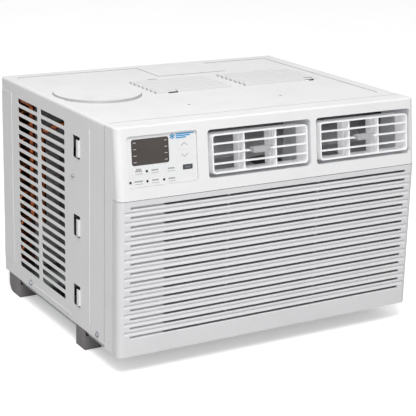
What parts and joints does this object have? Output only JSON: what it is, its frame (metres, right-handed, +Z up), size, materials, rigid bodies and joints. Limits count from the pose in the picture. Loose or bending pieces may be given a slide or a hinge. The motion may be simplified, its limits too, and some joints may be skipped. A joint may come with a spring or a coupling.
{
  "type": "window air conditioner",
  "caption": "Through-the-window room air conditioner: louvred steel cabinet, leaning control front with two discharge louvres and a hinged intake grille.",
  "frame": {"origin": "middle of the footprint, on the ground under the feet", "axes": "+X to the right seen from the room (the width), +Y out of the window, +Z up"},
  "size_m": [0.4852, 0.394, 0.3382],
  "materials": {
    "white_steel": "satin powder coat",
    "galvanised_steel": "galvanised",
    "grey_plastic": "matte",
    "white_plastic": "fine moulded grain",
    "grille_plastic": "fine moulded grain",
    "filter_frame_plastic": "matte",
    "filter_net": "woven net",
    "overlay_film": "satin film",
    "display_black": "gloss",
    "key_white": "satin",
    "key_metal": "satin",
    "lamp_black": "gloss",
    "circuit_board": "solder mask",
    "control_box_plastic": "matte",
    "louver_plastic": "satin",
    "duct_plastic": "satin",
    "housing_plastic": "matte foam-lined",
    "dark_coat": "matte coated sheet",
    "fan_plastic": "matte",
    "aluminium_fins": "mill finish",
    "copper": "drawn copper tube",
    "motor_steel": "grey",
    "shaft_steel": "ground",
    "black_enamel": "gloss enamel",
    "rubber": "matte",
    "zinc": "zinc plated",
    "capacitor_can": "satin",
    "sensor_metal": "plain"
  },
  "bodies": {
    "chassis": {"accumulator": "black_enamel", "base_pan": "galvanised_steel", "blower_housing": "housing_plastic", "bulkhead": "dark_coat", "cabinet": "white_steel", "cabinet_screws": "zinc", "capacitor_strap": "galvanised_steel", "capillary_tube": "copper", "compressor": "black_enamel", "compressor_bolts": "zinc", "compressor_grommets": "rubber", "condenser_end_plates": "dark_coat", "condenser_fins": "aluminium_fins", "condenser_tubes": "copper", "control_board": "circuit_board", "control_box": "control_box_plastic", "control_overlay": "overlay_film", "cord_gland": "rubber", "discharge_duct": "duct_plastic", "discharge_pipe": "copper", "display_window": "display_black", "drain_plug": "rubber", "evaporator_end_plates": "galvanised_steel", "evaporator_fins": "aluminium_fins", "evaporator_tubes": "copper", "fan_motor": "motor_steel", "fan_shroud": "dark_coat", "front_foot_left": "grey_plastic", "front_foot_right": "grey_plastic", "front_panel": "white_plastic", "led_windows": "lamp_black", "motor_bracket": "galvanised_steel", "rear_foot_left": "grey_plastic", "rear_foot_right": "grey_plastic", "run_capacitor": "capacitor_can", "suction_pipe": "copper", "temperature_sensor": "sensor_metal"},
    "grille": {"intake_grille": "grille_plastic", "air_filter_frame": "filter_frame_plastic", "air_filter_mesh": "filter_net"},
    "rotor": {"fan_shaft": "shaft_steel", "blower_wheel": "fan_plastic", "condenser_fan": "fan_plastic"},
    "louver_left": {"louver_frame_left": "louver_plastic"},
    "vane_left_outer": {"vane_left_outer": "louver_plastic"},
    "vane_left_inner": {"vane_left_inner": "louver_plastic"},
    "link_left": {"vane_link_left": "louver_plastic"},
    "louver_right": {"louver_frame_right": "louver_plastic"},
    "vane_right_outer": {"vane_right_outer": "louver_plastic"},
    "vane_right_inner": {"vane_right_inner": "louver_plastic"},
    "link_right": {"vane_link_right": "louver_plastic"},
    "button_up": {"button_up": "key_white"},
    "button_down": {"button_down": "key_white"},
    "button_power": {"button_power": "key_metal"},
    "button_fan_speed": {"button_fan_speed": "key_white"},
    "button_eco": {"button_eco": "key_white"},
    "button_mode": {"button_mode": "key_white"},
    "button_filter": {"button_filter": "key_white"},
    "button_sleep": {"button_sleep": "key_white"},
    "button_timer": {"button_timer": "key_white"}
  },
  "joints": [
    {"name": "grille_hinge", "type": "hinge", "parent": "chassis", "child": "grille", "pos_m": [0, -0.182, 0.0302], "axis": [1, 0, 0], "range_deg": [0, 75]},
    {"name": "fan_spin", "type": "hinge", "parent": "chassis", "child": "rotor", "pos_m": [0.054, 0, 0.165], "axis": [0, 1, 0], "continuous": true},
    {"name": "louver_tilt_left", "type": "hinge", "parent": "chassis", "child": "louver_left", "pos_m": [-0.024, -0.17889, 0.28663], "axis": [1, 0, 0], "range_deg": [-18, 18]},
    {"name": "vane_swing_left_outer", "type": "hinge", "parent": "louver_left", "child": "vane_left_outer", "pos_m": [-0.049, -0.17542, 0.28617], "axis": [0, 0.1305, 0.9914], "range_deg": [-35, 35]},
    {"name": "vane_swing_left_inner", "type": "hinge", "parent": "louver_left", "child": "vane_left_inner", "pos_m": [0.001, -0.17542, 0.28617], "axis": [0, 0.1305, 0.9914], "range_deg": [-35, 35]},
    {"name": "link_turn_left", "type": "hinge", "parent": "vane_left_outer", "child": "link_left", "pos_m": [-0.049, -0.18137, 0.28695], "axis": [0, 0.1305, 0.9914], "range_deg": [-35, 35]},
    {"name": "louver_tilt_right", "type": "hinge", "parent": "chassis", "child": "louver_right", "pos_m": [0.1494, -0.17889, 0.28663], "axis": [1, 0, 0], "range_deg": [-18, 18]},
    {"name": "vane_swing_right_outer", "type": "hinge", "parent": "louver_right", "child": "vane_right_outer", "pos_m": [0.1244, -0.17542, 0.28617], "axis": [0, 0.1305, 0.9914], "range_deg": [-35, 35]},
    {"name": "vane_swing_right_inner", "type": "hinge", "parent": "louver_right", "child": "vane_right_inner", "pos_m": [0.1744, -0.17542, 0.28617], "axis": [0, 0.1305, 0.9914], "range_deg": [-35, 35]},
    {"name": "link_turn_right", "type": "hinge", "parent": "vane_right_outer", "child": "link_right", "pos_m": [0.1244, -0.18137, 0.28695], "axis": [0, 0.1305, 0.9914], "range_deg": [-35, 35]},
    {"name": "press_up", "type": "slide", "parent": "chassis", "child": "button_up", "axis": [0, 0.9914, -0.1305], "range_m": [0, 0.0008], "stiffness_N_per_m": 1500},
    {"name": "press_down", "type": "slide", "parent": "chassis", "child": "button_down", "axis": [0, 0.9914, -0.1305], "range_m": [0, 0.0008], "stiffness_N_per_m": 1500},
    {"name": "press_power", "type": "slide", "parent": "chassis", "child": "button_power", "axis": [0, 0.9914, -0.1305], "range_m": [0, 0.0008], "stiffness_N_per_m": 1500},
    {"name": "press_fan_speed", "type": "slide", "parent": "chassis", "child": "button_fan_speed", "axis": [0, 0.9914, -0.1305], "range_m": [0, 0.0008], "stiffness_N_per_m": 1500},
    {"name": "press_eco", "type": "slide", "parent": "chassis", "child": "button_eco", "axis": [0, 0.9914, -0.1305], "range_m": [0, 0.0008], "stiffness_N_per_m": 1500},
    {"name": "press_mode", "type": "slide", "parent": "chassis", "child": "button_mode", "axis": [0, 0.9914, -0.1305], "range_m": [0, 0.0008], "stiffness_N_per_m": 1500},
    {"name": "press_filter", "type": "slide", "parent": "chassis", "child": "button_filter", "axis": [0, 0.9914, -0.1305], "range_m": [0, 0.0008], "stiffness_N_per_m": 1500},
    {"name": "press_sleep", "type": "slide", "parent": "chassis", "child": "button_sleep", "axis": [0, 0.9914, -0.1305], "range_m": [0, 0.0008], "stiffness_N_per_m": 1500},
    {"name": "press_timer", "type": "slide", "parent": "chassis", "child": "button_timer", "axis": [0, 0.9914, -0.1305], "range_m": [0, 0.0008], "stiffness_N_per_m": 1500}
  ],
  "couplings": [
    {"joint": "vane_swing_left_inner", "follows": "vane_swing_left_outer", "ratio": 1},
    {"joint": "link_turn_left", "follows": "vane_swing_left_outer", "ratio": -1},
    {"joint": "vane_swing_right_inner", "follows": "vane_swing_right_outer", "ratio": 1},
    {"joint": "link_turn_right", "follows": "vane_swing_right_outer", "ratio": -1}
  ]
}
